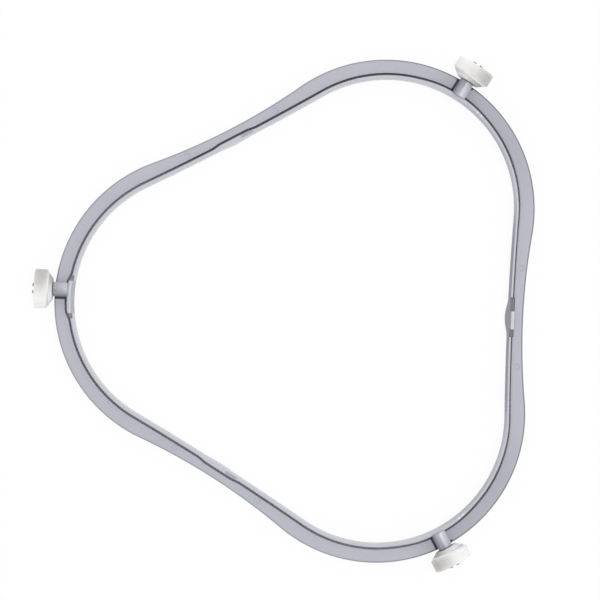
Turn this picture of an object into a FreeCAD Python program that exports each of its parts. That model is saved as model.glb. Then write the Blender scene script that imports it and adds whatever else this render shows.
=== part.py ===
import FreeCAD, Part
import Sketcher
import math
import os

# Roller ring that carries a turntable tray: a three-lobed plastic moulding with a roller at each lobe.
# Origin: centre of the ring on the surface that the rollers run on. +Z up, one lobe towards -X.

SIZES = {
    # outline of the flange: reach from the centre, then the arcs of lobe and waist
    "flange_lobe_reach": 103.1,
    "flange_lobe_radius": 57.4,
    "flange_waist_radius": 248.0,
    "flange_thickness": 2.6,
    "flange_edge_round": 1.0,
    # width of the flange outside the rib, at the tip of a lobe and at its shoulders
    "flange_lobe_width": 6.1,
    "flange_shoulder_width": 6.7,
    # upright rib along the inner edge of the flange
    "rib_waist_radius": 1100.0,
    "rib_thickness": 1.5,
    "rib_rise": 1.4,
    "rib_drop": 0.6,
    "rib_inner_round": 0.9,
    "rib_outer_round": 0.25,
    # narrow groove in the flange at the foot of the rib
    "groove_width": 0.9,
    "groove_depth": 2.0,
    # raised pad on the rib behind each of the two right axles
    "lobe_pad_length": 24.0,
    "lobe_pad_depth": 0.25,
    "lobe_pad_rise": 1.0,
    # deeper pad behind the left axle, with a shallow core pocket past each end
    "left_pad_length": 12.6,
    "left_pad_depth": 1.1,
    "left_pad_rise": 0.4,
    "left_pocket_length": 1.9,
    "left_pocket_depth": 0.8,
    # pad on the rib at each waist: a block with core pockets beside it, the right block off the middle
    "waist_block_length": 7.2,
    "waist_pocket_length": 3.9,
    "right_block_shift": 1.2,
    "waist_pad_depth": 0.5,
    "pocket_wall": 0.75,
    # bulge inside the rib at the right waist
    "waist_bulge_foot": 1.0,
    "waist_bulge_top": 0.25,
    # round marks on the flange, to each side of a waist
    "mark_spacing": 38.0,
    "mark_radius": 1.1,
    "mark_depth": 0.12,
    # boss and split snap axle at each lobe
    "boss_radius": 2.8,
    "boss_sink": 0.6,
    "boss_embed": 0.15,
    "boss_overhang": 0.3,
    "boss_foot_width": 2.6,
    "left_axle_shift": 2.7,
    "axle_radius": 1.8,
    "lip_height": 0.35,
    "lip_land": 0.3,
    "tip_radius": 2.1,
    "tip_stand": 0.6,
    "slit_width": 1.5,
    "slit_length": 6.0,
    # roller
    "roller_radius": 7.5,
    "roller_width": 7.1,
    "roller_dome": 0.35,
    "hub_radius": 4.4,
    "hub_step": 1.3,
    "web_radius": 6.1,
    "bevel_width": 1.1,
    "recess_radius": 2.75,
    "recess_depth": 1.1,
    "rim_round": 0.35,
    # fits
    "running_clearance": 0.08,
    "side_clearance": 0.15,
}

LOBES = 3
SECTOR = 360.0 / LOBES
ROLLER_ANGLES = {"roller_right_rear": 60.0, "roller_left": 180.0, "roller_right_front": 300.0}
LEFT_ROLLER = "roller_left"
# Core pockets at each waist: on its anticlockwise side, on its clockwise side, or on both
WAIST_POCKETS = {0.0: (1, -1), 120.0: (-1,), 240.0: (1,)}
RIGHT_WAIST = 0.0
SKETCH_ORIGIN = (-1, 1)
X_AXIS = -1
START, END, CENTRE = range(1, 4)
UP = FreeCAD.Vector(0, 0, 1)
SAME = 1e-4


class Size:
    """A length of the sheet, or one worked out from several, as a value and as a sheet expression."""

    def __init__(self, value, text):
        self.value = value
        self.text = text

    def join(self, other, sign, value):
        return Size(value, f"({self.text} {sign} {other.text})")

    def __add__(self, other):
        other = as_size(other)
        return self.join(other, "+", self.value + other.value)

    def __sub__(self, other):
        other = as_size(other)
        return self.join(other, "-", self.value - other.value)

    def __mul__(self, other):
        other = as_size(other)
        return self.join(other, "*", self.value * other.value)

    def __truediv__(self, other):
        other = as_size(other)
        return self.join(other, "/", self.value / other.value)

    def __neg__(self):
        return Size(-self.value, f"(-1 * {self.text})")

    def root(self):
        return Size(math.sqrt(self.value), f"sqrt({self.text})")


def as_size(number):
    """A plain number as a Size."""
    return number if isinstance(number, Size) else Size(float(number), repr(float(number)))


def size(name):
    """A driving size by its name in the sheet."""
    return Size(SIZES[name], f"Sizes.{name}")


doc = FreeCAD.newDocument("RollerRing")
sheet = doc.addObject("Spreadsheet::Sheet", "Sizes")
for row, (name, value) in enumerate(SIZES.items(), start=1):
    sheet.set(f"A{row}", name)
    sheet.set(f"B{row}", str(value))
    sheet.setAlias(f"B{row}", name)
doc.recompute()

# Heights, all from the surface under the rollers
axle_height = size("roller_radius")
flange_top = axle_height - size("boss_radius") + size("boss_sink")
flange_bottom = flange_top - size("flange_thickness")
rib_top = flange_top + size("rib_rise")
rib_bottom = flange_bottom - size("rib_drop")
groove_floor = flange_top - size("groove_depth")

# Reaches along an axle, all from the centre of the ring
rib_reach = size("flange_lobe_reach") - size("flange_lobe_width")
shoulder = size("flange_lobe_reach") + size("boss_overhang")
hub_face = shoulder + size("side_clearance")
roller_end = hub_face + size("roller_width")
rim_face = roller_end - size("roller_dome")
recess_floor = roller_end - size("recess_depth")
lip_face = recess_floor + size("side_clearance")
tip_end = roller_end + size("tip_stand")
bore_radius = size("axle_radius") + size("running_clearance")
lip_radius = size("axle_radius") + size("lip_height")


def bind(target, path, length):
    """Bind one property of an object to a Size."""
    target.setExpression(path, length.text)


def constrain(sketch, kind, *parts):
    """Add a constraint; where its last part is a Size, bind the constraint to it."""
    if isinstance(parts[-1], Size):
        index = sketch.addConstraint(Sketcher.Constraint(kind, *parts[:-1], parts[-1].value))
        bind(sketch, f"Constraints[{index}]", parts[-1])
    else:
        sketch.addConstraint(Sketcher.Constraint(kind, *parts))


def place_point(sketch, element, point, x, y):
    """Hold a point of a sketch element at x, y; a plain 0 for y holds it on the X axis."""
    constrain(sketch, "DistanceX", *SKETCH_ORIGIN, element, point, x)
    if isinstance(y, Size):
        constrain(sketch, "DistanceY", *SKETCH_ORIGIN, element, point, y)
    else:
        constrain(sketch, "PointOnObject", element, point, X_AXIS)


def level_sketch(body, name, height, angle=0.0, shift=None):
    """Sketch in a level plane at a height, its X axis turned to an angle, moved sideways by a shift."""
    sketch = body.newObject("Sketcher::SketchObject", name)
    plane = next(f for f in body.Origin.OriginFeatures if f.Role == "XY_Plane")
    sketch.AttachmentSupport = [(plane, "")]
    sketch.MapMode = "FlatFace"
    sketch.AttachmentOffset = FreeCAD.Placement(FreeCAD.Vector(), FreeCAD.Rotation(UP, angle))
    bind(sketch, "AttachmentOffset.Base.z", height)
    if shift is not None:
        bind(sketch, "AttachmentOffset.Base.x", shift * -math.sin(math.radians(angle)))
        bind(sketch, "AttachmentOffset.Base.y", shift * math.cos(math.radians(angle)))
    return sketch


def turned(along, across, angle):
    """Point given along and across an axis that is turned to an angle, as x and y sizes."""
    cosine = math.cos(math.radians(angle))
    sine = math.sin(math.radians(angle))
    return along * cosine - across * sine, along * sine + across * cosine


def polygon(sketch, points):
    """Closed outline of straight lines through points whose x and y are sizes."""
    corners = [FreeCAD.Vector(as_size(x).value, as_size(y).value, 0) for x, y in points]
    count = len(points)
    first = sketch.GeometryCount
    for k in range(count):
        sketch.addGeometry(Part.LineSegment(corners[k], corners[(k + 1) % count]), False)
    for k in range(count):
        constrain(sketch, "Coincident", first + k, END, first + (k + 1) % count, START)
    for k, (x, y) in enumerate(points):
        place_point(sketch, first + k, START, x, y)


def rectangle(sketch, x_low, x_high, y_low, y_high):
    """Upright rectangle between two x and two y sizes."""
    polygon(sketch, [(x_low, y_low), (x_high, y_low), (x_high, y_high), (x_low, y_high)])


def turned_rectangle(sketch, angle, x_low, x_high, y_low, y_high):
    """Rectangle between two x and two y sizes along and across an axis at an angle."""
    corners = [(x_low, y_low), (x_high, y_low), (x_high, y_high), (x_low, y_high)]
    polygon(sketch, [turned(x, y, angle) for x, y in corners])


def waist_centre_reach(lobe_centre, lobe_radius, waist_radius):
    """Reach of a waist arc's centre: its distance from two lobe centres is the sum of the radii."""
    span = (lobe_radius + waist_radius) * (lobe_radius + waist_radius) * 4
    return (lobe_centre + (span - lobe_centre * lobe_centre * 3).root()) / 2


def polar(reach, degrees):
    """Point at a reach and an angle."""
    angle = math.radians(degrees)
    return FreeCAD.Vector(reach * math.cos(angle), reach * math.sin(angle), 0)


def arc_about(centre, radius, start, end):
    """Arc about a centre, anticlockwise from one point to another."""
    first = math.atan2(start.y - centre.y, start.x - centre.x)
    last = math.atan2(end.y - centre.y, end.x - centre.x)
    return Part.ArcOfCircle(Part.Circle(centre, UP, radius), first, last)


def sector(sketch, angle, centre, inner, outer, half):
    """Outline between two arcs about a centre on an axis, cut off straight at each side of that axis."""
    middle = polar(centre.value, angle)
    arcs = []
    for radius in (inner, outer):
        along = centre + (radius * radius - half * half).root()
        low = turned(along, -half, angle)
        high = turned(along, half, angle)
        ends = [FreeCAD.Vector(x.value, y.value, 0) for x, y in (low, high)]
        arc = sketch.addGeometry(arc_about(middle, radius.value, *ends), False)
        place_point(sketch, arc, START, *low)
        place_point(sketch, arc, END, *high)
        constrain(sketch, "Radius", arc, radius)
        arcs.append((arc, ends))
    (inside, inside_ends), (outside, outside_ends) = arcs
    for point, first, last in zip((START, END), inside_ends, outside_ends):
        side = sketch.addGeometry(Part.LineSegment(first, last), False)
        constrain(sketch, "Coincident", side, START, inside, point)
        constrain(sketch, "Coincident", side, END, outside, point)


def lobed_outline(sketch, lobe_centre, lobe_radius, waist_radius):
    """Closed outline of outward lobe arcs and inward waist arcs, each tangent to the next."""
    waist_reach = waist_centre_reach(lobe_centre, lobe_radius, waist_radius).value
    share = lobe_radius.value / (lobe_radius.value + waist_radius.value)
    angles = list(ROLLER_ANGLES.values())
    first = sketch.GeometryCount
    for angle in angles:
        centre = polar(lobe_centre.value, angle)
        before = centre + (polar(waist_reach, angle - SECTOR / 2) - centre) * share
        after = centre + (polar(waist_reach, angle + SECTOR / 2) - centre) * share
        sketch.addGeometry(arc_about(centre, lobe_radius.value, before, after), False)
    for angle in angles:
        centre = polar(waist_reach, angle + SECTOR / 2)
        after = polar(lobe_centre.value, angle)
        before = polar(lobe_centre.value, angle + SECTOR)
        start = before + (centre - before) * share
        end = after + (centre - after) * share
        sketch.addGeometry(arc_about(centre, waist_radius.value, start, end), False)
    for k, angle in enumerate(angles):
        lobe = first + k
        waist = first + LOBES + k
        following = first + (k + 1) % LOBES
        constrain(sketch, "Tangent", lobe, END, waist, END)
        constrain(sketch, "Tangent", waist, START, following, START)
        direction = polar(1.0, angle)
        across = lobe_centre * direction.y if abs(direction.y) > SAME else 0
        place_point(sketch, lobe, CENTRE, lobe_centre * direction.x, across)
        constrain(sketch, "Radius", lobe, lobe_radius)
        constrain(sketch, "Radius", waist, waist_radius)


def add(body, kind, name, sketch, length):
    """Pad or pocket of a sketch."""
    feature = body.newObject(f"PartDesign::{kind}", name)
    feature.Profile = sketch
    feature.Length = length.value
    bind(feature, "Length", length)
    doc.recompute()


def revolve(body, name, sketch):
    """Solid turned all round from a sketch, about the X axis of that sketch."""
    feature = body.newObject("PartDesign::Revolution", name)
    feature.Profile = sketch
    feature.ReferenceAxis = (sketch, ["H_Axis"])
    feature.Angle = 360.0
    doc.recompute()


def round_edges(body, name, radius, chosen):
    """Fillet the edges of the body so far that a test chooses."""
    doc.recompute()
    base = body.Tip
    names = [f"Edge{k}" for k, edge in enumerate(base.Shape.Edges, start=1) if chosen(edge)]
    fillet = body.newObject("PartDesign::Fillet", name)
    fillet.Base = (base, names)
    fillet.Radius = radius.value
    bind(fillet, "Radius", radius)
    doc.recompute()


def level_edge(edge, height):
    """True for an edge that lies level at a height."""
    box = edge.BoundBox
    return abs(box.ZMin - height.value) < SAME and abs(box.ZMax - height.value) < SAME


def edge_radius(edge):
    """Radius of a round edge, or 0 for a straight one."""
    return edge.Curve.Radius if isinstance(edge.Curve, Part.Circle) else 0.0


def is_any(value, sizes):
    """True where a value is one of several sizes."""
    return any(abs(value - each.value) < SAME for each in sizes)


rib_radius = size("flange_lobe_radius") - size("flange_shoulder_width")
rib_centre = rib_reach - rib_radius
rib_outer = (rib_centre, rib_radius, size("rib_waist_radius"))
rib_inner = (rib_centre, rib_outer[1] - size("rib_thickness"), rib_outer[2] + size("rib_thickness"))
rib_middle = rib_radius - size("rib_thickness") / 2
groove_outer = (rib_centre, rib_outer[1] + size("groove_width"), rib_outer[2] - size("groove_width"))
flange_centre = size("flange_lobe_reach") - size("flange_lobe_radius")
flange_outer = (flange_centre, size("flange_lobe_radius"), size("flange_waist_radius"))
rib_waist = waist_centre_reach(*rib_outer) - rib_outer[2]
flange_waist = waist_centre_reach(*flange_outer) - flange_outer[2]


def flange_and_rib(body):
    """Flat flange, upright rib at its inner edge, and the groove between them."""
    sketch = level_sketch(body, "FlangeSketch", flange_bottom)
    lobed_outline(sketch, *flange_outer)
    lobed_outline(sketch, *rib_inner)
    add(body, "Pad", "Flange", sketch, size("flange_thickness"))
    round_edges(body, "FlangeEdge", size("flange_edge_round"),
                lambda edge: is_any(edge_radius(edge), flange_outer[1:])
                and not level_edge(edge, flange_bottom))
    sketch = level_sketch(body, "RibSketch", rib_bottom)
    lobed_outline(sketch, *rib_outer)
    lobed_outline(sketch, *rib_inner)
    add(body, "Pad", "Rib", sketch, rib_top - rib_bottom)
    round_edges(body, "RibInnerEdge", size("rib_inner_round"),
                lambda edge: level_edge(edge, rib_top) and is_any(edge_radius(edge), rib_inner[1:]))
    round_edges(body, "RibOuterEdge", size("rib_outer_round"),
                lambda edge: level_edge(edge, rib_top) and is_any(edge_radius(edge), rib_outer[1:]))
    sketch = level_sketch(body, "GrooveSketch", flange_top)
    lobed_outline(sketch, *groove_outer)
    lobed_outline(sketch, *rib_outer)
    add(body, "Pocket", "Groove", sketch, size("groove_depth"))


def pad_depth(name):
    """How far the pad behind an axle stands out from the rib."""
    return size("left_pad_depth") if name == LEFT_ROLLER else size("lobe_pad_depth")


def lobe_pads(body):
    """Pad behind each axle and the groove along it; the left pad is deeper, with a pocket past each end."""
    half = size("lobe_pad_length") / 2
    left_half = size("left_pad_length") / 2
    pocket_end = left_half + size("left_pocket_length")
    grooves = level_sketch(body, "LobeGrooveSketch", flange_top)
    pads = level_sketch(body, "LobePadSketch", flange_bottom)
    left_pad = level_sketch(body, "LeftPadSketch", flange_bottom)
    for name, angle in ROLLER_ANGLES.items():
        is_left = name == LEFT_ROLLER
        face = rib_radius + pad_depth(name)
        groove_half = pocket_end if is_left else half
        sector(grooves, angle, rib_centre, face, face + size("groove_width"), groove_half)
        if is_left:
            sector(left_pad, angle, rib_centre, rib_middle, face, left_half)
        else:
            sector(pads, angle, rib_centre, rib_middle, face, half)
    add(body, "Pocket", "LobeGroove", grooves, size("groove_depth"))
    add(body, "Pad", "LobePad", pads, rib_top + size("lobe_pad_rise") - flange_bottom)
    add(body, "Pad", "LeftPad", left_pad, rib_top + size("left_pad_rise") - flange_bottom)
    sketch = level_sketch(body, "LeftPocketSketch", rib_top, ROLLER_ANGLES[LEFT_ROLLER])
    wall = rib_reach - size("rib_thickness") + size("pocket_wall")
    face = rib_reach + size("left_pad_depth")
    rectangle(sketch, wall, face, left_half, pocket_end)
    rectangle(sketch, wall, face, -pocket_end, -left_half)
    add(body, "Pocket", "LeftPocket", sketch, size("rib_rise") + size("left_pocket_depth"))


def lens(sketch, chord, half, sagitta):
    """Outline of a straight chord and an arc that bulges from it towards the centre of the ring."""
    radius = (half * half + sagitta * sagitta) / (sagitta * 2)
    top = FreeCAD.Vector(chord.value, half.value, 0)
    bottom = FreeCAD.Vector(chord.value, -half.value, 0)
    centre = FreeCAD.Vector(chord.value - sagitta.value + radius.value, 0, 0)
    line = sketch.addGeometry(Part.LineSegment(bottom, top), False)
    arc = sketch.addGeometry(arc_about(centre, radius.value, top, bottom), False)
    constrain(sketch, "Coincident", line, END, arc, START)
    constrain(sketch, "Coincident", line, START, arc, END)
    place_point(sketch, line, START, chord, -half)
    place_point(sketch, line, END, chord, half)
    constrain(sketch, "Radius", arc, radius)


def waist_bulge(body):
    """Bulge inside the rib at the right waist, wider at its foot than at its top."""
    half = size("waist_block_length") / 2 + size("waist_pocket_length")
    levels = (("BulgeFootSketch", rib_bottom, size("waist_bulge_foot")),
              ("BulgeTopSketch", rib_top - size("rib_inner_round"), size("waist_bulge_top")))
    sections = []
    for name, height, bulge in levels:
        sketch = level_sketch(body, name, height, RIGHT_WAIST)
        lens(sketch, rib_waist - size("rib_thickness") / 2, half, size("rib_thickness") / 2 + bulge)
        sections.append(sketch)
    loft = body.newObject("PartDesign::AdditiveLoft", "WaistBulge")
    loft.Profile = sections[0]
    loft.Sections = sections[1:]
    loft.Ruled = True
    doc.recompute()


def waist_pads(body):
    """Pad outside the rib at each waist, with core pockets at one end or at both. The right pad fills the
    groove and joins the flange; along the other two the groove runs round the pad."""
    inner_end = size("waist_block_length") / 2
    half = inner_end + size("waist_pocket_length")
    middle = rib_waist - size("rib_thickness") / 2
    wall = rib_waist - size("rib_thickness") + size("pocket_wall")
    grooves = level_sketch(body, "WaistGrooveSketch", rib_top)
    pads = level_sketch(body, "WaistPadSketch", flange_bottom)
    pockets = level_sketch(body, "WaistPocketSketch", rib_top)
    for angle, sides in WAIST_POCKETS.items():
        is_right = angle == RIGHT_WAIST
        face = rib_waist + size("groove_width" if is_right else "waist_pad_depth")
        turned_rectangle(pads, angle, middle, face, -half, half)
        if not is_right:
            turned_rectangle(grooves, angle, rib_waist, face + size("groove_width"), -half, half)
        for side in sides:
            block_end = inner_end - size("right_block_shift") * side if is_right else inner_end
            turned_rectangle(pockets, angle, wall, face, block_end * side, half * side)
    add(body, "Pocket", "WaistGroove", grooves, rib_top - groove_floor)
    add(body, "Pad", "WaistPad", pads, rib_top - flange_bottom)
    add(body, "Pocket", "WaistPocket", pockets, rib_top - groove_floor)


def flange_marks(body):
    """Shallow round marks in the top of the flange, to each side of a waist."""
    sketch = level_sketch(body, "MarkSketch", flange_top)
    reach = (rib_waist + size("groove_width") + flange_waist) / 2
    for angle in WAIST_POCKETS:
        for across in (size("mark_spacing") / 2, -size("mark_spacing") / 2):
            x, y = turned(reach, across, angle)
            centre = FreeCAD.Vector(x.value, y.value, 0)
            mark = sketch.addGeometry(Part.Circle(centre, UP, size("mark_radius").value), False)
            place_point(sketch, mark, CENTRE, x, y)
            constrain(sketch, "Radius", mark, size("mark_radius"))
    add(body, "Pocket", "FlangeMark", sketch, size("mark_depth"))


def axle_shift(name):
    """Sideways place of an axle: the left one stands off the middle of its pad."""
    return -size("left_axle_shift") if name == LEFT_ROLLER else None


def split_axle(body, name, angle):
    """Round boss across the flange on a narrow foot, then a split snap axle."""
    shift = axle_shift(name)
    axle_root = rib_reach + pad_depth(name) - size("boss_embed")
    half_foot = size("boss_foot_width") / 2
    sketch = level_sketch(body, f"{name}_foot_sketch", flange_bottom, angle, shift)
    foot_end = size("flange_lobe_reach") - size("flange_edge_round")
    rectangle(sketch, axle_root, foot_end, -half_foot, half_foot)
    add(body, "Pad", f"{name}_foot", sketch, axle_height - flange_bottom)
    sketch = level_sketch(body, f"{name}_axle_sketch", axle_height, angle, shift)
    polygon(sketch, [
        (axle_root, 0), (tip_end, 0), (tip_end, size("tip_radius")),
        (lip_face + size("lip_land"), lip_radius), (lip_face, lip_radius), (lip_face, size("axle_radius")),
        (shoulder, size("axle_radius")), (shoulder, size("boss_radius")), (axle_root, size("boss_radius")),
    ])
    revolve(body, f"{name}_axle", sketch)
    sketch = level_sketch(body, f"{name}_slit_sketch", axle_height + lip_radius, angle, shift)
    half_slit = size("slit_width") / 2
    rectangle(sketch, tip_end - size("slit_length"), tip_end, -half_slit, half_slit)
    add(body, "Pocket", f"{name}_slit", sketch, lip_radius * 2)


def roller(name, angle):
    """Roller with a bevelled inner side, a slightly domed outer face and a recess for the snap lip."""
    body = doc.addObject("PartDesign::Body", name)
    body.Label = name
    sketch = level_sketch(body, f"{name}_profile", as_size(0))
    polygon(sketch, [
        (hub_face, bore_radius), (recess_floor, bore_radius), (recess_floor, size("recess_radius")),
        (roller_end, size("recess_radius")), (rim_face, size("roller_radius")),
        (hub_face + size("hub_step") + size("bevel_width"), size("roller_radius")),
        (hub_face + size("hub_step"), size("web_radius")), (hub_face, size("hub_radius")),
    ])
    revolve(body, f"{name}_turned", sketch)
    round_edges(body, f"{name}_rim", size("rim_round"),
                lambda edge: is_any(edge_radius(edge), [size("roller_radius")]))
    body.Placement = FreeCAD.Placement(FreeCAD.Vector(), FreeCAD.Rotation(UP, angle))
    bind(body, "Placement.Base.z", axle_height)
    shift = axle_shift(name)
    if shift is not None:
        bind(body, "Placement.Base.x", shift * -math.sin(math.radians(angle)))
        bind(body, "Placement.Base.y", shift * math.cos(math.radians(angle)))
    return body


def ring():
    """The whole moulding."""
    body = doc.addObject("PartDesign::Body", "ring")
    body.Label = "ring"
    flange_and_rib(body)
    lobe_pads(body)
    waist_bulge(body)
    waist_pads(body)
    flange_marks(body)
    for name, angle in ROLLER_ANGLES.items():
        split_axle(body, name, angle)
    return body


pieces = [ring()] + [roller(name, angle) for name, angle in ROLLER_ANGLES.items()]
doc.recompute()

for item in doc.Objects:
    if "Invalid" in item.State or "Error" in item.State:
        raise RuntimeError(f"{item.Name} failed: {item.State}")
for piece in pieces:
    if piece.Shape.isNull() or not piece.Shape.isValid() or len(piece.Shape.Solids) != 1:
        raise RuntimeError(f"{piece.Label} isn't one valid solid")

os.makedirs("parts", exist_ok=True)
for piece in pieces:
    piece.Shape.exportStep(f"parts/{piece.Label}.step")
    print(piece.Label, round(piece.Shape.Volume, 1), "mm3", piece.Shape.BoundBox)
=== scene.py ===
import functools
import math

import bpy
import numpy as np
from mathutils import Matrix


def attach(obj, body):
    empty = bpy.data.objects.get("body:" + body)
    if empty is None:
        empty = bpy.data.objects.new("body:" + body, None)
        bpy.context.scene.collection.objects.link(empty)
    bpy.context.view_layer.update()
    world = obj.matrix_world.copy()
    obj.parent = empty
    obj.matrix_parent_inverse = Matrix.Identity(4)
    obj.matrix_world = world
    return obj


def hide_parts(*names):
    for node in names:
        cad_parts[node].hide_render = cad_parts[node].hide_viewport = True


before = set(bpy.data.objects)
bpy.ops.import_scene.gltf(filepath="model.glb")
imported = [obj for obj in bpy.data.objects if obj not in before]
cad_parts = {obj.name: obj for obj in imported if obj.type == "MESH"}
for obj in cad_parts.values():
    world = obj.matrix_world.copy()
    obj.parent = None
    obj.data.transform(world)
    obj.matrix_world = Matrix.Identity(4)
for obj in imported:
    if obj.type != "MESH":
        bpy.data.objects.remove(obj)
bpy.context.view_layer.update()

MM = 0.001

# Lengths are in millimetres and angles in degrees. Heights are above the surface that the rollers run on.

# Flange
FLANGE_LOBE_REACH = 103.1
FLANGE_LOBE_RADIUS = 57.4
FLANGE_WAIST_RADIUS = 248.0
FLANGE_TOP = 5.3
FLANGE_BOTTOM = 2.7
FLANGE_TOP_ROUND = 1.0
FLANGE_DRAFT = 0.06
PARTING_LINE = 3.7

# Round marks that ejector pins left on the flange, a pair beside each waist
MARK_SPACING = 38.0
MARK_RADIUS = 1.1
MARK_FADE = 0.3
MARK_DEPTH = 0.2

# Rib along the flange's inner edge, and the groove at its foot
RIB_REACH = 97.0
RIB_RADIUS = 50.7
RIB_WAIST_RADIUS = 1100.0
RIB_THICKNESS = 1.5
RIB_TOP = 6.7
RIB_BOTTOM = 2.1
RIB_INNER_ROUND = 0.9
RIB_OUTER_ROUND = 0.25
SMALL_ROUND = 0.25
GROOVE_WIDTH = 0.9
GROOVE_NARROWING = 0.35
GROOVE_FLOOR = 3.3
GROOVE_LIP = 0.12
GROOVE_ROUND = 0.2

# Pads, core pockets and bulges along the rib, and the lengths over which they begin and end
POCKET_WALL = 0.75
POCKET_STEP = 0.04
RIGHT_POCKET_FLOOR = 5.0
SIDE_POCKET_FLOOR = 6.2
LEFT_POCKET_FLOOR = 5.6
LEFT_POCKET_LENGTH = 1.9
LOBE_PAD_HALF = 12.0
LOBE_PAD_DEPTH = 0.25
LOBE_PAD_RISE = 1.0
LOBE_PAD_RAMP = 7.0
LEFT_PAD_HALF = 6.3
LEFT_PAD_DEPTH = 1.1
LEFT_PAD_RISE = 0.4
LEFT_PAD_LEAN = 1.1
WAIST_PAD_HALF = 7.5
WAIST_PAD_DEPTH = 0.5
RIGHT_BULGE_FOOT = 1.0
RIGHT_BULGE_LEAN = 0.45
SIDE_BULGE_FOOT = 0.3
SHARP_STEP = 0.35
SIDE_POCKET_STEP = 1.2
SOFT_STEP = 4.5

# Bosses and split axles
AXLE_HEIGHT = 7.5
BOSS_RADIUS = 2.8
BOSS_FOOT_HALF = 1.3
BOSS_EMBED = 0.15
SHOULDER = 103.4
SIDE_CLEARANCE = 0.15
AXLE_RADIUS = 1.8
RUNNING_CLEARANCE = 0.08
SLIT_HALF = 0.75
SLIT_LENGTH = 6.0
LIP_LAND = 0.3
LIP_RADIUS = 2.15
LIP_FILLET = 0.05
LIP_ROUND = 0.06
LIP_RUN_OUT = 0.1
TIP_STAND = 0.6
TIP_RADIUS = 2.1
TIP_BEVEL = 0.2
TIP_BEVEL_TAPER = 0.12
TIP_NOSE = 0.06
TIP_NOSE_DROP = 0.03
TIP_END_DROP = 0.15
LEFT_AXLE_SHIFT = -2.7

# Rollers
ROLLER_RADIUS = 7.5
ROLLER_WIDTH = 7.1
ROLLER_DOME = 0.35
HUB_RADIUS = 4.4
HUB_STEP = 1.3
WEB_RADIUS = 6.1
BEVEL_WIDTH = 1.1
RIM_ROUND = 0.35
RECESS_RADIUS = 2.75
RECESS_DEPTH = 1.1
EDGE_ROUND = 0.15
LINE_WIDTH = 0.2

# Places along an axle, from the centre of the ring
HUB_FACE = SHOULDER + SIDE_CLEARANCE
WEB_FACE = HUB_FACE + HUB_STEP
TREAD_START = WEB_FACE + BEVEL_WIDTH
ROLLER_END = HUB_FACE + ROLLER_WIDTH
RIM_FACE = ROLLER_END - ROLLER_DOME
RECESS_FLOOR = ROLLER_END - RECESS_DEPTH
LIP_FACE = RECESS_FLOOR + SIDE_CLEARANCE
TIP_END = ROLLER_END + TIP_STAND
SLIT_FLOOR = TIP_END - SLIT_LENGTH
BORE_RADIUS = AXLE_RADIUS + RUNNING_CLEARANCE

# Directions from the centre of the ring
LOBE_SPACING = 120.0
HALF_SPACING = LOBE_SPACING / 2
LOBE_ANGLES = (60.0, 180.0, 300.0)
WAIST_ANGLES = (0.0, 120.0, 240.0)
LEFT_LOBE = 180.0
RIGHT_WAIST = 0.0
# Core pockets at each waist, as stretches across its axis, anticlockwise positive
WAIST_POCKETS = {0.0: ((2.4, 7.5), (-7.5, -4.8)), 120.0: ((-7.5, -2.8),), 240.0: ((2.8, 7.5),)}
# Direction of each roller's axle, and its place across that direction, anticlockwise positive
AXLES = {"roller_right_rear": (60.0, 0.0), "roller_left": (180.0, LEFT_AXLE_SHIFT),
         "roller_right_front": (300.0, 0.0)}

# Fineness of the meshes
STATION_COUNT = 1250
STATION_TRIALS = 12
STATION_PULL = 0.012
BOSS_SEGMENTS = 144
ROLLER_SEGMENTS = 192
ARC_POINTS = 6
PRONG_ARC_POINTS = 17
PRONG_FLAT_POINTS = 9
SHARP_ANGLE = 32.0

# Strength of painted shade and painted light, of the darker flange patches and of the scratches, from 0 to 1
# Painted shade in the groove, more of it above the left lobe, and painted light in it at the right
GROOVE_SHADE = 0.3
GROOVE_EXTRA_SHADE = 0.5
GROOVE_LIGHT = 0.65
# Darker flange in two patches beside the right lobes
FLANGE_DARKENING = 0.14
# Painted shade on the flange's rounded edge
EDGE_SHADE = 0.35
# Painted shade in the rib's pockets and painted light on its top; on the inner face and ridge, painted light,
# but painted shade at the right and at the left pad
POCKET_SHADE = 0.58
BLOCK_LIGHT = 0.25
PAD_LIGHT = 0.15
PAD_SHADE = 0.1
RIB_LIGHT = 0.25
RIDGE_LIGHT = 0.75
INNER_LIGHT = 0.75
INNER_SHADE = 0.42
# Painted highlights on the rib's top
SPOT_HIGHLIGHT = 0.8
# Painted shade and painted light on the bosses, and painted shadow beside them on the flange
BOSS_SHADE = 0.68
BOSS_LIGHT = 0.3
CREVICE_SHADE = 1.0
SCRATCH_SCUFF = 0.3
# Painted shade on the prong tips, and the share of it that their ends lose
TIP_SHADE = 0.9
TIP_END_LESS_SHADE = 0.5
# Painted shade in the line round a roller and on one side of it
LINE_SHADE = 0.4
ROLLER_SIDE_SHADE = 1.0

# Places of painted shade and painted light on the ring, and of the darker flange patches. A stretch of
# headings is its middle, its half width and its fade.
RIGHT_STRETCH = (RIGHT_WAIST, 33.0, 24.0)
# Stretch where the groove has more painted shade
SHADED_STRETCH = (103.0, 39.0, 30.0)
DARKENED_STRETCHES = ((48.0, 14.0, 20.0), (312.0, 14.0, 20.0))
# Angles on the flange's rounded edge where the painted shade ends and where the top without it begins
EDGE_SHADE_END = 54.0
EDGE_UNSHADED_START = 66.0
# How fast a pocket loses the painted light of the rib's top: all of it at a third of the right pockets' depth
TOP_LIGHT_LOSS = 3.0
# Two painted highlights on the rib beside each right lobe, on the side of the right waist
HIGHLIGHTED_LOBES = {60.0: -1.0, 300.0: 1.0}
SPOT_PLACES = (9.85, 11.85)
SPOT_RADIUS = 0.4

# Places of painted shade and painted light on the bosses and tips
# Side of each boss with painted shade on it and painted shadow along the flange, anticlockwise positive
SHADED_SIDES = {"roller_right_rear": 1.0, "roller_left": 1.0, "roller_right_front": -1.0}
# Strength of the painted highlight stripe along the other side of each boss
HIGHLIGHT_STRIPES = {"roller_right_rear": 0.9, "roller_left": 0.15, "roller_right_front": 0.8}
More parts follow.
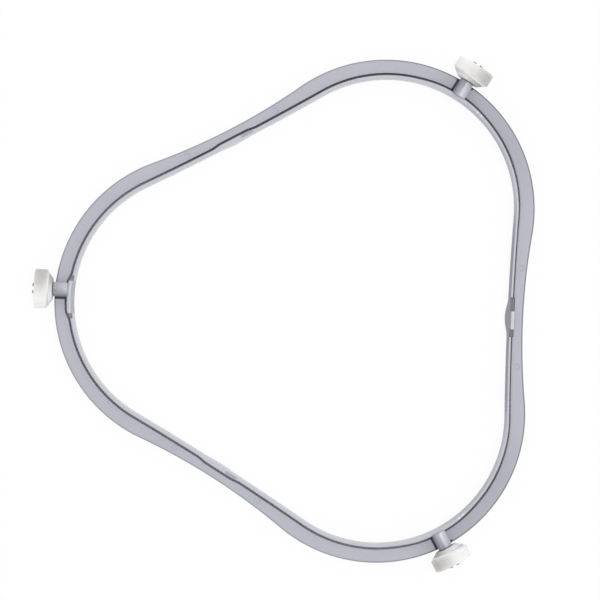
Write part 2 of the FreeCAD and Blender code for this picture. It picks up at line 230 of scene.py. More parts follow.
# Middle and fade of the side with painted shade, the side with painted light and the highlight stripe, as
# shares of the boss's radius
SHADED_SIDE = (0.55, 0.9)
LIT_SIDE = (0.3, 1.0)
STRIPE_PLACE = 0.3
STRIPE_WIDTH = 0.2
# Ends of the smooth steps round the painted shadow by a boss, from the flange's top and from the boss's side
CREVICE_LEVEL = ((-0.8, -0.3), (0.2, 1.2))
CREVICE_WIDTH = ((-0.6, 0.0), (0.7, 1.1))
CREVICE_START = 0.6
# The same for the painted shadow in the corner on the other side, and its way in from the flange's edge
CORNER_WIDTH = ((-1.0, -0.6), (0.0, 0.6))
CORNER_START = (1.6, 1.0)
# Length over which the painted shade on a prong tip eases at its end
TIP_FADE = 0.2

# Middle and fade of the painted shade on one side of a roller, as shares of its radius
SHADE_SWEEP = (0.05, 1.7)

# Noise: size of its features in millimetres, detail and, where it isn't a half, roughness
RING_CLOUD = (16.0, 3.0)
RING_GRAIN = (0.6, 4.0, 0.6)
RING_SPECKS = (0.25, 1.0)
RING_SCRATCHES = (0.7, 2.0)
ROLLER_CLOUD = (5.0, 3.0)
ROLLER_GRAIN = (0.4, 3.0)
# Values of a noise between which specks and scratches come in
SPECK_RANGE = (0.62, 0.75)
SCRATCH_RANGE = (0.56, 0.72)

# Plastic of the ring and of the rollers
RING_DEEP = (0.41, 0.417, 0.475, 1.0)
RING_PALE = (0.50, 0.507, 0.565, 1.0)
# Pale colour for painted light and for scratches
RING_LIGHTENED = (0.72, 0.725, 0.745, 1.0)
# Dark colour for painted shade and painted shadow, and for the darker flange patches
RING_DARKENED = (0.033, 0.04, 0.07, 1.0)
RING_ROUGHNESS = 0.38
RING_POLISH = 0.24
RING_IOR = 1.46
RING_BUMP = 0.2
RING_BUMP_DEPTH = 0.035
ROLLER_DEEP = (0.82, 0.816, 0.81, 1.0)
ROLLER_PALE = (0.88, 0.877, 0.872, 1.0)
# Warm grey for the painted shade on one side of a roller
ROLLER_SHADED = (0.45, 0.44, 0.43, 1.0)
# Dark colour for the painted shade in the line round a roller
ROLLER_LINE_DARK = (0.10, 0.095, 0.09, 1.0)
ROLLER_ROUGHNESS = 0.4
ROLLER_IOR = 1.5
ROLLER_BUMP = 0.12
ROLLER_BUMP_DEPTH = 0.04
ROUGHNESS_SPREAD = 0.1
SUBSURFACE_TINT = (1.0, 0.95, 0.9)
SUBSURFACE_DEPTH = 6.0
# How much each noise and the marks move the ring's tint, and how much is taken off it
TINT_CLOUD = 0.7
TINT_GRAIN = 0.6
TINT_SPECKS = 0.12
TINT_MARKS = 0.1
TINT_OFFSET = 0.15
# How much of the painted shade on a roller is even, and how much follows the cloudy noise
SHADE_EVEN = 0.6
SHADE_CLOUD = 0.6

# View of the photograph: straight down, the ring turned a little and off the middle of the picture
PICTURE_WIDTH = 230.87
PICTURE_TURN = math.radians(2.643)
PICTURE_MIDDLE = (-8.39, 3.26)
CAMERA_HEIGHT = 1030.0
SENSOR = 36.0
CLIP_START = 0.01

# Light: a white surround, stronger from the sides than from overhead, and one soft lamp high on the
# right
WHITE = (1.0, 1.0, 1.0, 1.0)
ZENITH_LIGHT = 0.64
HORIZON_LIGHT = 1.08
LAMP_AZIMUTH = 12.0
LAMP_ELEVATION = 75.0
LAMP_ANGLE = 22.0
LAMP_STRENGTH = 0.88
FLOOR_HALF = 3000.0
FLOOR_SEEN = 0.95
FLOOR_BOUNCE = 0.85
FLOOR_GLOW = 0.93

# Sockets of the Mix node when it mixes colours
MIX_FACTOR = 0
MIX_FIRST = 6
MIX_SECOND = 7
MIX_RESULT = 2


class Shade:
    """A socket in a material's nodes. Operators on it add Math nodes, and node() adds any other node."""

    def __init__(self, tree, socket=None):
        self.tree = tree
        self.socket = socket

    def node(self, kind, settings=None, sockets=None, output=0):
        """Add a node: first its settings, then values or links for its sockets."""
        made = self.tree.nodes.new(kind)
        for name, value in (settings or {}).items():
            setattr(made, name, value)
        for name, value in (sockets or {}).items():
            if isinstance(value, Shade):
                self.tree.links.new(value.socket, made.inputs[name])
            else:
                made.inputs[name].default_value = value
        return Shade(self.tree, made.outputs[output])

    def math(self, operation, first, second):
        return self.node("ShaderNodeMath", {"operation": operation}, {0: first, 1: second})

    def __add__(self, other):
        return self.math("ADD", self, other)

    def __sub__(self, other):
        return self.math("SUBTRACT", self, other)

    def __rsub__(self, other):
        return self.math("SUBTRACT", other, self)

    def __mul__(self, other):
        return self.math("MULTIPLY", self, other)

    def most(self, other):
        return self.math("MAXIMUM", self, other)

    def least(self, other):
        return self.math("MINIMUM", self, other)

    def between(self, low, high):
        """Smooth step of this value: 0 at the low end, 1 at the high end."""
        settings = {"interpolation_type": "SMOOTHSTEP"}
        return self.node("ShaderNodeMapRange", settings, {"Value": self, "From Min": low, "From Max": high})

    def band(self, place, rise, fall):
        """1 between a smooth step up and a smooth step down, each given by its ends from a place."""
        up = self.between(place + rise[0], place + rise[1])
        return up - self.between(place + fall[0], place + fall[1])

    def mix(self, low, high):
        """Colour between two colours, by this value."""
        sockets = {MIX_FACTOR: self, MIX_FIRST: low, MIX_SECOND: high}
        return self.node("ShaderNodeMix", {"data_type": "RGBA"}, sockets, MIX_RESULT)

    __radd__ = __add__
    __rmul__ = __mul__


def new_material(name):
    """Empty material: gives it, a Shade on its tree and its output node."""
    material = bpy.data.materials.new(name)
    material.use_nodes = True
    tree = material.node_tree
    tree.nodes.clear()
    output = tree.nodes.new("ShaderNodeOutputMaterial")
    return material, Shade(tree), output


def noise(shade, point, size, detail, roughness=0.5):
    """Cloudy noise from 0 to 1 with features of about one size, in millimetres."""
    sockets = {"Vector": point, "Scale": 1.0 / (size * MM), "Detail": detail, "Roughness": roughness}
    return shade.node("ShaderNodeTexNoise", {"noise_dimensions": "3D"}, sockets, "Fac")


def distance(shade, point, place):
    """Distance of a point from a place, in metres."""
    sockets = {0: point, 1: tuple(number * MM for number in place)}
    return shade.node("ShaderNodeVectorMath", {"operation": "DISTANCE"}, sockets, "Value")


def ejector_marks(shade, point):
    """1 inside the round marks of the ejector pins on the flange, beside each waist, and 0 elsewhere."""
    rib = waist_reach(RIB_REACH - RIB_RADIUS, RIB_RADIUS, RIB_WAIST_RADIUS) - RIB_WAIST_RADIUS
    flange = waist_reach(FLANGE_LOBE_REACH - FLANGE_LOBE_RADIUS, FLANGE_LOBE_RADIUS, FLANGE_WAIST_RADIUS)
    reach = (rib + GROOVE_WIDTH + flange - FLANGE_WAIST_RADIUS) / 2
    ways = [distance(shade, point, (*turned(reach, across, angle), FLANGE_TOP))
            for angle in WAIST_ANGLES for across in (MARK_SPACING / 2, -MARK_SPACING / 2)]
    nearest = functools.reduce(Shade.least, ways)
    return 1.0 - nearest.between((MARK_RADIUS - MARK_FADE) * MM, (MARK_RADIUS + MARK_FADE) * MM)


def place_along(shade, point, angle):
    """How far a point lies along a level direction at an angle, in millimetres."""
    direction = (*turned(1.0 / MM, 0.0, angle), 0.0)
    return shade.node("ShaderNodeVectorMath", {"operation": "DOT_PRODUCT"}, {0: point, 1: direction}, "Value")


def boss_crevice_shade(shade, point):
    """Painted shadow: 1 on the flange in a narrow band along one side of each boss, and in the corner that
    the flange's edge makes with the other side of the two right bosses; 0 elsewhere."""
    height = shade.node("ShaderNodeSeparateXYZ", {}, {0: point}, "Z") * (1.0 / MM)
    dark = []
    for name, (angle, shift) in AXLES.items():
        along = place_along(shade, point, angle)
        across = (place_along(shade, point, angle + 90.0) - shift) * SHADED_SIDES[name]
        past_rib = along.between(RIB_REACH, RIB_REACH + CREVICE_START)
        dark.append(past_rib * across.band(BOSS_RADIUS, *CREVICE_WIDTH))
        if angle != LEFT_LOBE:
            by_edge = along.between(*(FLANGE_LOBE_REACH - way for way in CORNER_START))
            dark.append(by_edge * across.band(-BOSS_RADIUS, *CORNER_WIDTH))
    return functools.reduce(Shade.most, dark) * height.band(FLANGE_TOP, *CREVICE_LEVEL)


def tone_of(shade):
    """The tone of a piece at its points: the share below 0 is painted shade or darkening, and the share
    above 0 is painted light on the ring or painted shade on one side of a roller.
    """
    tone = shade.node("ShaderNodeAttribute", {"attribute_name": "tone"}, {}, "Fac")
    return (0.0 - tone).most(0.0), tone.most(0.0)


def ring_plastic(name, polish):
    """Cool light grey moulded plastic: cloudy tint, fine satin grain, faint pin marks, paler with painted
    light, darker with painted shade and shadow and in two darker flange patches. Polish takes away roughness
    and adds pale scratches."""
    material, shade, output = new_material(name)
    point = shade.node("ShaderNodeTexCoord", output="Object")
    cloud = noise(shade, point, *RING_CLOUD)
    grain = noise(shade, point, *RING_GRAIN)
    specks = noise(shade, point, *RING_SPECKS).between(*SPECK_RANGE)
    scratches = noise(shade, point, *RING_SCRATCHES).between(*SCRATCH_RANGE)
    marks = ejector_marks(shade, point)
    # Painted shade and painted light from the tone, with the scratches as real wear
    shading, sheen_and_scratches = tone_of(shade)
    sheen_and_scratches = sheen_and_scratches + scratches * (SCRATCH_SCUFF * polish)
    # Painted shadow beside the bosses
    shading = shading.most(boss_crevice_shade(shade, point) * CREVICE_SHADE)
    tint = cloud * TINT_CLOUD + grain * TINT_GRAIN - TINT_OFFSET - specks * TINT_SPECKS - marks * TINT_MARKS
    untoned = tint.mix(RING_DEEP, RING_PALE)
    colour = shading.mix(sheen_and_scratches.mix(untoned, RING_LIGHTENED), RING_DARKENED)
    dents = shade.node("ShaderNodeBump", {}, {"Strength": 1.0, "Distance": -MARK_DEPTH * MM, "Height": marks})
    bump = shade.node("ShaderNodeBump", {}, {
        "Strength": RING_BUMP, "Distance": RING_BUMP_DEPTH * MM, "Height": grain, "Normal": dents})
    rough = cloud * ROUGHNESS_SPREAD + grain * ROUGHNESS_SPREAD + (RING_ROUGHNESS - RING_POLISH * polish)
    surface = shade.node("ShaderNodeBsdfPrincipled", {}, {
        "Base Color": colour, "Roughness": rough, "Normal": bump, "IOR": RING_IOR})
    shade.tree.links.new(surface.socket, output.inputs["Surface"])
    return material


def roller_plastic():
    """Off-white hard plastic, smooth and cloudy, with warm grey painted shade on one side of the roller
    and painted shade in the line round its inner side."""
    material, shade, output = new_material("roller_plastic_white")
    point = shade.node("ShaderNodeTexCoord", output="Object")
    cloud = noise(shade, point, *ROLLER_CLOUD)
    grain = noise(shade, point, *ROLLER_GRAIN)
    # Painted shade in the line and on one side of the roller
    shading, side_shade = tone_of(shade)
    untoned = cloud.mix(ROLLER_DEEP, ROLLER_PALE)
    side_shaded = (side_shade * (cloud * SHADE_CLOUD + SHADE_EVEN)).mix(untoned, ROLLER_SHADED)
    colour = shading.mix(side_shaded, ROLLER_LINE_DARK)
    bump = shade.node("ShaderNodeBump", {}, {
        "Strength": ROLLER_BUMP, "Distance": ROLLER_BUMP_DEPTH * MM, "Height": grain})
    rough = grain * ROUGHNESS_SPREAD + ROLLER_ROUGHNESS
    surface = shade.node("ShaderNodeBsdfPrincipled", {}, {
        "Base Color": colour, "Roughness": rough, "Normal": bump, "IOR": ROLLER_IOR, "Subsurface Weight": 1.0,
        "Subsurface Radius": SUBSURFACE_TINT, "Subsurface Scale": SUBSURFACE_DEPTH * MM})
    shade.tree.links.new(surface.socket, output.inputs["Surface"])
    return material


def turned(along, across, angle):
    """Point given along and across an axis that is turned to an angle, as x and y."""
    cosine = math.cos(math.radians(angle))
    sine = math.sin(math.radians(angle))
    return along * cosine - across * sine, along * sine + across * cosine


def grid_piece(name, points, tone, material, body, capped=False):
    """Closed surface from a grid of points in millimetres: each row is a loop, and the rows either join
    up with the first one or are closed by a flat face at each end. Tone is one value for each point,
    below 0 for painted shade or darkening and above 0 for painted light, or on a roller for painted shade."""
    rows, columns = points.shape[:2]
    index = np.arange(rows * columns).reshape(rows, columns)
    beside = np.roll(index, -1, axis=1)
    above = np.roll(index, -1, axis=0)
    corner = np.roll(beside, -1, axis=0)
    faces = np.stack([index, above, corner, beside], axis=2)
    if capped:
        faces = faces[:-1]
    faces = faces.reshape(-1, 4).tolist()
    if capped:
        faces.append(index[0].tolist())
        faces.append(index[-1, ::-1].tolist())
    mesh = bpy.data.meshes.new(name)
    mesh.from_pydata((points.reshape(-1, 3) * MM).tolist(), [], faces)
    mesh.polygons.foreach_set("use_smooth", np.ones(len(mesh.polygons), dtype=bool))
    mesh.set_sharp_from_angle(angle=math.radians(SHARP_ANGLE))
    mesh.attributes.new("tone", "FLOAT", "POINT").data.foreach_set("value", tone.ravel())
    mesh.materials.append(material)
    mesh.update()
    piece = bpy.data.objects.new(name, mesh)
    bpy.context.scene.collection.objects.link(piece)
    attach(piece, body)
    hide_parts(body)


def step(value, place, softness):
    """Smooth step from 0 to 1 about a place: 3 t squared less 2 t cubed over a width."""
    t = np.clip((value - place) / softness + 0.5, 0.0, 1.0)
    return t * t * (3.0 - 2.0 * t)


def stretch(value, low, high, softness):
    """1 from a low to a high place and 0 outside, with smooth steps."""
    return step(value, low, softness) * step(-value, -high, softness)


def near(points, angle, half, softness):
    """1 at points whose direction from the centre is near an angle, and 0 elsewhere, with a smooth step."""
    heading = np.degrees(np.arctan2(points[:, 1], points[:, 0]))
    away = np.abs(np.mod(heading - angle + 180.0, 360.0) - 180.0)
    return 1.0 - step(away, half, softness)


def waist_reach(lobe_centre, lobe_radius, waist_radius):
    """Reach of a waist arc's centre, whose distance from two lobe centres is the sum of the radii."""
    span = 4.0 * (lobe_radius + waist_radius) ** 2 - 3.0 * lobe_centre ** 2
    return (lobe_centre + math.sqrt(span)) / 2.0


def lobe_half(lobe_centre, waist_centre):
    """Half of the angle that a lobe's arc sweeps: the direction from its centre to that of the next
    waist's arc, where the two arcs meet, against the lobe's axis."""
    x, y = turned(waist_centre, 0.0, HALF_SPACING)
    return math.atan2(y, x - lobe_centre)


def rib_outline(share):
    """Points on the rib's outer face and their outward normals, at shares of the way round. The way is
    six arcs, lobe, waist, lobe and so on, each tangent to the next: centre plus radius times the
    direction at an angle that grows along a lobe and falls along a waist."""
    lobe_centre = RIB_REACH - RIB_RADIUS
    waist_centre = waist_reach(lobe_centre, RIB_RADIUS, RIB_WAIST_RADIUS)
    lean = lobe_half(lobe_centre, waist_centre)
    waist_half = lean - math.radians(HALF_SPACING)
    centres, radii, starts, sweeps, signs = [], [], [], [], []
    for angle in LOBE_ANGLES:
        centres.append(turned(lobe_centre, 0.0, angle))
        radii.append(RIB_RADIUS)
        starts.append(math.radians(angle) - lean)
        sweeps.append(2.0 * lean)
        signs.append(1.0)
        centres.append(turned(waist_centre, 0.0, angle + HALF_SPACING))
        radii.append(RIB_WAIST_RADIUS)
        starts.append(math.radians(angle + HALF_SPACING) + math.pi + waist_half)
        sweeps.append(-2.0 * waist_half)
        signs.append(-1.0)
    centres, radii, starts, sweeps, signs = map(np.array, (centres, radii, starts, sweeps, signs))
    ends = np.cumsum(radii * np.abs(sweeps))
    way = np.mod(share, 1.0) * ends[-1]
    arc = np.searchsorted(ends, way, side="right")
    part = 1.0 - (ends[arc] - way) / (radii * np.abs(sweeps))[arc]
    angle = starts[arc] + sweeps[arc] * part
    direction = np.stack([np.cos(angle), np.sin(angle)], axis=-1)
    return centres[arc] + radii[arc, None] * direction, signs[arc, None] * direction


def flange_width(points, normals):
    """Way from the rib to the flange's edge: where a ray along the normal meets the circle of the
    nearest lobe, or of the nearest waist where that lies past the lobe's end. Both are roots of a
    quadratic."""
    lobe_centre = FLANGE_LOBE_REACH - FLANGE_LOBE_RADIUS
    waist_centre = waist_reach(lobe_centre, FLANGE_LOBE_RADIUS, FLANGE_WAIST_RADIUS)
    heading = np.degrees(np.arctan2(points[:, 1], points[:, 0]))
    nearest_lobe = np.round((heading - HALF_SPACING) / LOBE_SPACING) * LOBE_SPACING + HALF_SPACING
    lobe_axis = np.radians(nearest_lobe)
    waist_axis = np.radians(np.round(heading / LOBE_SPACING) * LOBE_SPACING)

    def meet(axis, reach, radius, side):
        offset = points - reach * np.stack([np.cos(axis), np.sin(axis)], axis=-1)
        along = (offset * normals).sum(axis=1)
        inside = along ** 2 - (offset ** 2).sum(axis=1) + radius ** 2
        return -along + side * np.sqrt(np.maximum(inside, 0.0)), offset

    lobe_way, offset = meet(lobe_axis, lobe_centre, FLANGE_LOBE_RADIUS, 1.0)
    waist_way, _ = meet(waist_axis, waist_centre, FLANGE_WAIST_RADIUS, -1.0)
    hit = offset + lobe_way[:, None] * normals
    swing = np.arctan2(hit[:, 1], hit[:, 0]) - lobe_axis
    swing = np.abs(np.mod(swing + math.pi, 2.0 * math.pi) - math.pi)
    return np.where(swing <= lobe_half(lobe_centre, waist_centre), lobe_way, waist_way)


def across_axis(points, angle):
    """Places of points across an axis at an angle; points not near that axis are put far away."""
    along, across = turned(points[:, 0], points[:, 1], -angle)
    return np.where(along > RIB_RADIUS, across, 2.0 * FLANGE_LOBE_REACH)


def rib_features(points):
    """Pads, pockets and bulges along the rib as smooth functions of place: how far the outer face stands
    out, the width and the floor of the groove, how far the top rises, how far its outer half lies above
    the rest, and how far the inner face swells at its foot and at its top."""
    zero = np.zeros(len(points))
    face, rise, lift, foot, head = (zero.copy() for _ in range(5))
    width, floor = zero + GROOVE_WIDTH, zero + GROOVE_FLOOR
    filled = FLANGE_TOP - GROOVE_LIP - GROOVE_FLOOR
    for angle in LOBE_ANGLES:
        across = across_axis(points, angle)
        if angle == LEFT_LOBE:
            end = LEFT_PAD_HALF + LEFT_POCKET_LENGTH
            shift_end = (LEFT_PAD_HALF + end) / 2
            pad = stretch(across, -LEFT_PAD_HALF, LEFT_PAD_HALF, SHARP_STEP)
            face += LEFT_PAD_DEPTH * stretch(across, -shift_end, shift_end, SOFT_STEP)
            lift += LEFT_PAD_RISE * pad
            head -= LEFT_PAD_LEAN * pad
            for side in (1.0, -1.0):
                hollow = stretch(across * side, LEFT_PAD_HALF, end, SHARP_STEP)
                lift -= (RIB_TOP - LEFT_POCKET_FLOOR) * hollow
        else:
            face += LOBE_PAD_DEPTH * stretch(across, -LOBE_PAD_HALF, LOBE_PAD_HALF, 2.0 * LOBE_PAD_RAMP)
            rise += LOBE_PAD_RISE * stretch(across, -LOBE_PAD_HALF, LOBE_PAD_HALF, LOBE_PAD_RAMP)
    for angle, shift in AXLES.values():
        across = across_axis(points, angle) - shift
        floor += filled * stretch(across, -BOSS_FOOT_HALF, BOSS_FOOT_HALF, SHARP_STEP)
    for angle in WAIST_ANGLES:
        across = across_axis(points, angle)
        is_right = angle == RIGHT_WAIST
        swell = np.clip(1.0 - (across / WAIST_PAD_HALF) ** 2, 0.0, 1.0) ** 2
        foot += (RIGHT_BULGE_FOOT if is_right else SIDE_BULGE_FOOT) * swell
        if is_right:
            pad = stretch(across, -WAIST_PAD_HALF, WAIST_PAD_HALF, SHARP_STEP)
            face += GROOVE_WIDTH * pad
            width -= GROOVE_WIDTH * pad
            floor += filled * pad
            head -= RIGHT_BULGE_LEAN * pad
            width -= GROOVE_NARROWING * near(points, *RIGHT_STRETCH) * (1.0 - pad)
        else:
            face += WAIST_PAD_DEPTH * stretch(across, -WAIST_PAD_HALF, WAIST_PAD_HALF, SOFT_STEP)
        depth = RIB_TOP - (RIGHT_POCKET_FLOOR if is_right else SIDE_POCKET_FLOOR)
        for low, high in WAIST_POCKETS[angle]:
            hollow = stretch(across, low, high, SHARP_STEP if is_right else SIDE_POCKET_STEP)
            lift -= depth * hollow
            if is_right:
                head += RIGHT_BULGE_LEAN * hollow
    return face, width, floor, rise, lift, foot, head


def highlight_spots(points):
    """Strength of the painted highlights on the rib's top, in pairs beside the two right lobes: a bell
    curve each."""
    strength = np.zeros(len(points))
    for angle, side in HIGHLIGHTED_LOBES.items():
        across = side * across_axis(points, angle)
        for place in SPOT_PLACES:
            strength += SPOT_HIGHLIGHT * np.exp(-((across - place) / SPOT_RADIUS) ** 2)
    return strength


def ring_tones(points, lift, open_share):
    """Tone of each stretch of the ring's section at every station, below 0 for painted shade or darkening and
    above 0 for painted light: the groove, the flange's top and its edge, the rib's top without and with its
    painted highlights, and the ridge and the face on its inner side."""
    right = near(points, *RIGHT_STRETCH)
    by_rollers = sum(near(points, *darkened_stretch) for darkened_stretch in DARKENED_STRETCHES)
    left_pad = stretch(across_axis(points, LEFT_LOBE), -LEFT_PAD_HALF, LEFT_PAD_HALF, SOFT_STEP / 2)
    block = stretch(across_axis(points, RIGHT_WAIST), -WAIST_PAD_HALF, WAIST_PAD_HALF, SHARP_STEP)
    hollow = np.clip(-lift / (RIB_TOP - RIGHT_POCKET_FLOOR), 0.0, 1.0)
    # The groove: painted shade all round, more above the left lobe, painted light at the right
    groove = GROOVE_LIGHT * right - GROOVE_SHADE - GROOVE_EXTRA_SHADE * near(points, *SHADED_STRETCH)
    # The flange's top is darker in two patches beside the right lobes
    flange_darkening = -FLANGE_DARKENING * by_rollers
    # Painted shade along the flange's rounded edge, twice as strong on the right
    edge = -EDGE_SHADE * (1.0 + step(points[:, 0], RIB_RADIUS / 2, RIB_RADIUS))
    # Painted light on the rib's top, and painted shade in its pockets
    top = RIB_LIGHT + (PAD_LIGHT - RIB_LIGHT) * left_pad + BLOCK_LIGHT * block
    top = top * (1.0 - np.minimum(TOP_LIGHT_LOSS * hollow, 1.0)) - POCKET_SHADE * hollow
    # Painted light on the inner face and ridge, and painted shade on the inner face at the right and at the
    # left pad
    inner = INNER_LIGHT * (1.0 - right) * (1.0 - left_pad) * (1.0 - by_rollers)
    inner = inner - INNER_SHADE * right - PAD_SHADE * left_pad
    ridge = RIB_LIGHT + (RIDGE_LIGHT - RIB_LIGHT) * left_pad
    ridge = ridge + (inner - ridge) * np.maximum(right, by_rollers)
    return groove * open_share, flange_darkening, edge, top, top + highlight_spots(points), ridge, inner


def stations(count):
    """Shares of the way round the rib, closer together where pads and pockets begin and end: equal steps
    of the running total of one plus the change of the features."""
    fine = np.linspace(0.0, 1.0, STATION_TRIALS * count + 1)
    points, _ = rib_outline(fine)
    change = sum(np.abs(np.diff(feature)) for feature in rib_features(points))
    total = np.concatenate([[0.0], np.cumsum(1.0 / len(change) + STATION_PULL * change)])
    return np.interp(np.linspace(0.0, total[-1], count, endpoint=False), total, fine)


def round_corner(across, height, radius, start, end, count=5, tone=(0.0, 0.0)):
    """Arc of a section about a centre, from one angle to another, for every station, with the tone at
    its two ends."""
    angle = np.radians(np.linspace(start, end, count))
    across, height, radius = (np.reshape(value, (-1, 1)) for value in (across, height, radius))
    first, last = (np.reshape(value, (-1, 1)) for value in tone)
    part = np.linspace(0.0, 1.0, count)
    along = across + radius * np.cos(angle)
    return along, height + radius * np.sin(angle), first * (1.0 - part) + last * part + 0.0 * along


def straight(start, end, count, tone=0.0):
    """Points inside a straight run of a section, its ends left out, for every station."""
    part = np.linspace(0.0, 1.0, count + 2)[1:-1]
    first, low, last, high = (np.reshape(value, (-1, 1)) for value in (*start, *end))
    across = first * (1.0 - part) + last * part
    return across, low * (1.0 - part) + high * part, np.reshape(tone, (-1, 1)) + 0.0 * across


def ring_moulding(material):
    """Flange, groove and rib in one: a section across the ring, carried round the rib's outline. The
    section runs outwards under the flange, over its rounded edge, inwards along its top, through the
    groove, up the rib, over its top and down its inner face; its corners are arcs, and its places follow
    the features along the rib."""
    points, normals = rib_outline(stations(STATION_COUNT))
    edge = flange_width(points, normals)
    side = edge - FLANGE_DRAFT
    face, groove, floor, rise, lift, foot, head = rib_features(points)
    level = np.ones(len(points))
    inner_foot = -RIB_THICKNESS - foot
    inner_head = -RIB_THICKNESS - head
    top = RIB_TOP + rise
    outer_top = top + lift
    wall = POCKET_WALL + POCKET_STEP - RIB_THICKNESS - np.minimum(head, 0.0)
    turn = math.degrees(math.acos((POCKET_WALL - POCKET_STEP - RIB_INNER_ROUND) / RIB_INNER_ROUND))
    groove_edge = face + groove
    open_share = groove / GROOVE_WIDTH
    bend = GROOVE_ROUND * open_share
    shading, flange_darkening, edge_tone, top_tone, top_with_highlights, ridge_tone, inner_tone = ring_tones(points, lift, open_share)
    under = level * FLANGE_BOTTOM
    over = level * FLANGE_TOP
    rim_across = side - FLANGE_TOP_ROUND
    rim_height = over - FLANGE_TOP_ROUND
    foot_height = level * (RIB_BOTTOM + SMALL_ROUND)
    runs = [
        round_corner(inner_foot + SMALL_ROUND, foot_height, SMALL_ROUND, 180, 270),
        round_corner(level * -SMALL_ROUND, foot_height, SMALL_ROUND, 270, 360),
        round_corner(level * GROOVE_LIP, under - GROOVE_LIP, GROOVE_LIP, 180, 90, 3),
        straight((level * GROOVE_LIP, under), (side - SMALL_ROUND, under), 4),
        round_corner(side - SMALL_ROUND, under + SMALL_ROUND, SMALL_ROUND, 270, 360),
        straight((edge, level * PARTING_LINE), (edge, level * PARTING_LINE), 1),
        round_corner(rim_across, rim_height, FLANGE_TOP_ROUND, 0, EDGE_SHADE_END, 5, (edge_tone, edge_tone)),
        round_corner(rim_across, rim_height, FLANGE_TOP_ROUND, EDGE_UNSHADED_START, 90, 4, (flange_darkening, flange_darkening)),
        straight((rim_across, over), (groove_edge + GROOVE_LIP, over), 6, flange_darkening),
        round_corner(groove_edge + GROOVE_LIP, over - GROOVE_LIP, GROOVE_LIP, 90, 180, 4, (flange_darkening, shading)),
        round_corner(groove_edge - bend, floor + bend, bend, 0, -90, 4, (shading, shading)),
        round_corner(face + bend, floor + bend, bend, -90, -180, 4, (shading, shading)),
        round_corner(face - RIB_OUTER_ROUND, outer_top - RIB_OUTER_ROUND, RIB_OUTER_ROUND, 0, 90, 5,
                     (top_tone, top_with_highlights)),
        straight((face - RIB_OUTER_ROUND, outer_top), (wall, outer_top), 2, top_with_highlights),
        straight((wall, outer_top), (wall, outer_top), 1, top_with_highlights),
        round_corner(inner_head + RIB_INNER_ROUND, top - RIB_INNER_ROUND, RIB_INNER_ROUND, turn, 180, 8,
                     (ridge_tone, inner_tone)),
        straight((inner_head, top - RIB_INNER_ROUND), (inner_foot, foot_height), 4, inner_tone),
    ]
    across, height, tone = (np.concatenate(arrays, axis=1) for arrays in zip(*runs))
    flat = points[:, None, :] + across[:, :, None] * normals[:, None, :]
    surface = np.concatenate([flat, height[:, :, None]], axis=2)
    grid_piece("ring_moulding", surface, tone, material, "ring")


def about_axle(along, across, up, angle, shift):
    """Points given along an axle, across it and up from it, placed at a lobe."""
    x, y = turned(along, across + shift, angle)
    return np.stack([x, y, AXLE_HEIGHT + up], axis=-1)


def profile(*runs):
    """Outline of a turned piece from runs of points along the axle and out from it. A run is a corner
    point, or an arc given by its centre, radius and first and last angle."""
    along, out = [], []
    for run in runs:
        if len(run) == 2:
            along.append([run[0]])
            out.append([run[1]])
        else:
            centre_along, centre_out, radius, first, last = run
            angle = np.radians(np.linspace(first, last, ARC_POINTS))
            along.append(centre_along + radius * np.cos(angle))
            out.append(centre_out + radius * np.sin(angle))
    return np.concatenate(along), np.concatenate(out)


def swings(segments):
    """Angles round an axle, one for each segment of a turned piece, in radians."""
    return np.linspace(2.0 * math.pi, 0.0, segments, endpoint=False)


def lathe(along, out, angle, shift, segments):
    """Surface turned about an axle: each profile point goes round a circle of its own radius."""
    across = out[:, None] * np.cos(swings(segments))
    up = out[:, None] * np.sin(swings(segments))
    return about_axle(np.broadcast_to(along[:, None], across.shape), across, up, angle, shift)


def axle_boss(name, angle, shift, material):
    """Round boss across the flange and the solid start of the axle: a turned profile with rounded edges.
    One side and the outer end carry painted shade, the other side painted light, and the painted highlight
    stripe on it is a bell curve across the boss."""
    depth = LEFT_PAD_DEPTH if angle == LEFT_LOBE else LOBE_PAD_DEPTH
    root = RIB_REACH + depth - BOSS_EMBED
    edge = SMALL_ROUND
    along, out = profile(
        (root, BOSS_RADIUS / 2),
        (root + edge, BOSS_RADIUS - edge, edge, 180, 90),
        (SHOULDER - edge, BOSS_RADIUS - edge, edge, 90, 0),
        (SHOULDER, AXLE_RADIUS + EDGE_ROUND),
        (SHOULDER + EDGE_ROUND, AXLE_RADIUS),
        (SLIT_FLOOR, AXLE_RADIUS),
        (SLIT_FLOOR, AXLE_RADIUS / 2))
    surface = lathe(along, out, angle, shift, BOSS_SEGMENTS)
    # Painted shade on one side and at the outer end by the roller; painted light and a painted highlight
    # stripe on the other side
    share = SHADED_SIDES[name] * out[:, None] * np.cos(swings(BOSS_SEGMENTS)) / BOSS_RADIUS
    dark_end = step(along, SHOULDER - edge, edge)[:, None]
    stripe = np.exp(-((share + STRIPE_PLACE) / STRIPE_WIDTH) ** 2)
    lit = BOSS_LIGHT * step(-share, *LIT_SIDE) + HIGHLIGHT_STRIPES[name] * stripe
    tone = lit * (1.0 - dark_end) - BOSS_SHADE * np.maximum(step(share, *SHADED_SIDE), dark_end)
    grid_piece(f"{name}_boss", surface, tone, material, "ring", capped=True)


